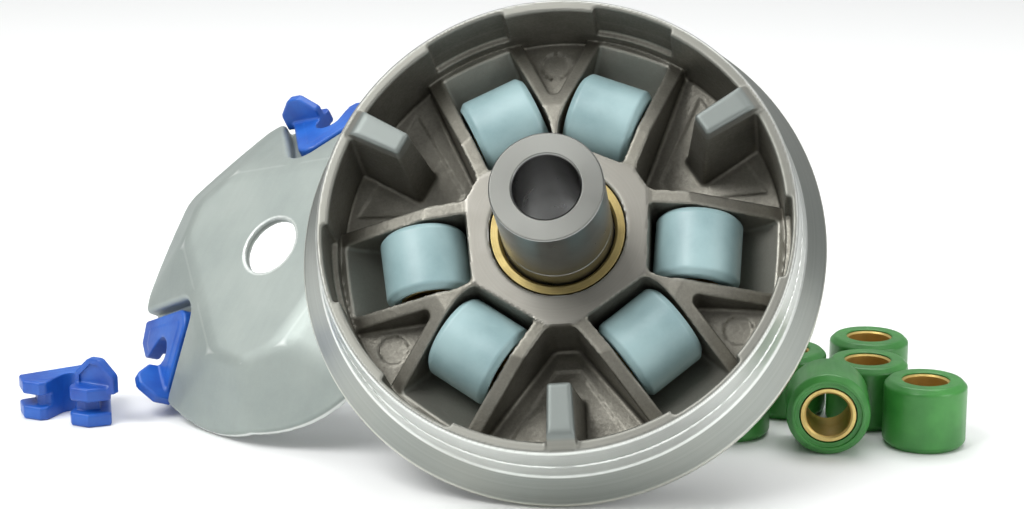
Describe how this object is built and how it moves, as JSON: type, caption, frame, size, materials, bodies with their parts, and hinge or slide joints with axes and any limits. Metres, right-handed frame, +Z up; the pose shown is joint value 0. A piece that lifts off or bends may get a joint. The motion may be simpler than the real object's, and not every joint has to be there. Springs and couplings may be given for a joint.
{
  "type": "cvt pulley set",
  "caption": "Movable half of a scooter belt drive pulley with hub bush, spacer and rollers, shown with its ramp plate, slide guides and spare rollers.",
  "frame": {"origin": "on the ground, under the middle of the whole set", "axes": "+Z up, +X to the right along the row of pieces, +Y towards the back"},
  "size_m": [0.2206, 0.1202, 0.1017],
  "materials": {
    "casting": "die cast, turned bright on the rim",
    "bronze": "turned bronze",
    "steel": "ground and hardened",
    "plate": "satin pressed sheet",
    "brass": "turned",
    "pale_nylon": "pale blue-grey moulded nylon",
    "green_nylon": "green moulded nylon",
    "blue_nylon": "royal blue moulded nylon"
  },
  "bodies": {
    "pulley": {"pulley_half": "casting", "hub_bush": "bronze"},
    "spacer": {"spacer": "steel"},
    "roller_1": {"roller_1_shell": "pale_nylon", "roller_1_sleeve": "brass"},
    "roller_2": {"roller_2_shell": "pale_nylon", "roller_2_sleeve": "brass"},
    "roller_3": {"roller_3_shell": "pale_nylon", "roller_3_sleeve": "brass"},
    "roller_4": {"roller_4_shell": "pale_nylon", "roller_4_sleeve": "brass"},
    "roller_5": {"roller_5_shell": "pale_nylon", "roller_5_sleeve": "brass"},
    "roller_6": {"roller_6_shell": "pale_nylon", "roller_6_sleeve": "brass"},
    "ramp_plate": {"ramp_plate": "plate", "slide_guide_1": "blue_nylon", "slide_guide_2": "blue_nylon"},
    "loose_guide": {"slide_guide_3": "blue_nylon"},
    "spare_roller_1": {"spare_roller_1_shell": "green_nylon", "spare_roller_1_sleeve": "brass"},
    "spare_roller_2": {"spare_roller_2_shell": "green_nylon", "spare_roller_2_sleeve": "brass"},
    "spare_roller_3": {"spare_roller_3_shell": "green_nylon", "spare_roller_3_sleeve": "brass"},
    "spare_roller_4": {"spare_roller_4_shell": "green_nylon", "spare_roller_4_sleeve": "brass"},
    "spare_roller_5": {"spare_roller_5_shell": "green_nylon", "spare_roller_5_sleeve": "brass"},
    "spare_roller_6": {"spare_roller_6_shell": "green_nylon", "spare_roller_6_sleeve": "brass"}
  },
  "joints": [
    {"name": "spacer_shift", "type": "slide", "parent": "pulley", "child": "spacer", "axis": [-0.1087, -0.8258, 0.5534], "range_m": [0, 0.0108]},
    {"name": "roller_1_stroke", "type": "slide", "parent": "pulley", "child": "roller_1", "axis": [-0.4027, -0.0391, 0.9145], "range_m": [0, 0.0109]},
    {"name": "roller_2_stroke", "type": "slide", "parent": "pulley", "child": "roller_2", "axis": [0.2417, -0.0892, 0.9662], "range_m": [0, 0.0109]},
    {"name": "roller_3_stroke", "type": "slide", "parent": "pulley", "child": "roller_3", "axis": [-0.5288, -0.8084, -0.2584], "range_m": [0, 0.0109]},
    {"name": "roller_4_stroke", "type": "slide", "parent": "pulley", "child": "roller_4", "axis": [-0.864, -0.4696, 0.1813], "range_m": [0, 0.0109]},
    {"name": "roller_5_stroke", "type": "slide", "parent": "pulley", "child": "roller_5", "axis": [0.7417, -0.5946, 0.3103], "range_m": [0, 0.0109]},
    {"name": "roller_6_stroke", "type": "slide", "parent": "pulley", "child": "roller_6", "axis": [0.4325, -0.8833, -0.1812], "range_m": [0, 0.0109]},
    {"name": "plate_pull_away", "type": "slide", "parent": "pulley", "child": "ramp_plate", "axis": [0, 1, 0], "range_m": [0, 0.03]},
    {"name": "loose_guide_pull_away", "type": "slide", "parent": "pulley", "child": "loose_guide", "axis": [0, -1, 0], "range_m": [0, 0.03]},
    {"name": "spare_roller_1_lift", "type": "slide", "parent": "pulley", "child": "spare_roller_1", "axis": [0, 0, 1], "range_m": [0, 0.025]},
    {"name": "spare_roller_2_lift", "type": "slide", "parent": "pulley", "child": "spare_roller_2", "axis": [0, 0, 1], "range_m": [0, 0.025]},
    {"name": "spare_roller_3_lift", "type": "slide", "parent": "pulley", "child": "spare_roller_3", "axis": [0, 0, 1], "range_m": [0, 0.025]},
    {"name": "spare_roller_4_lift", "type": "slide", "parent": "pulley", "child": "spare_roller_4", "axis": [0, 0, 1], "range_m": [0, 0.025]},
    {"name": "spare_roller_5_lift", "type": "slide", "parent": "pulley", "child": "spare_roller_5", "axis": [0, 0, 1], "range_m": [0, 0.025]},
    {"name": "spare_roller_6_lift", "type": "slide", "parent": "pulley", "child": "spare_roller_6", "axis": [0, 0, 1], "range_m": [0, 0.025]}
  ],
  "couplings": [
    {"joint": "roller_1_stroke", "follows": "spacer_shift", "ratio": 1},
    {"joint": "roller_2_stroke", "follows": "spacer_shift", "ratio": 1},
    {"joint": "roller_3_stroke", "follows": "spacer_shift", "ratio": 1},
    {"joint": "roller_4_stroke", "follows": "spacer_shift", "ratio": 1},
    {"joint": "roller_5_stroke", "follows": "spacer_shift", "ratio": 1},
    {"joint": "roller_6_stroke", "follows": "spacer_shift", "ratio": 1}
  ]
}
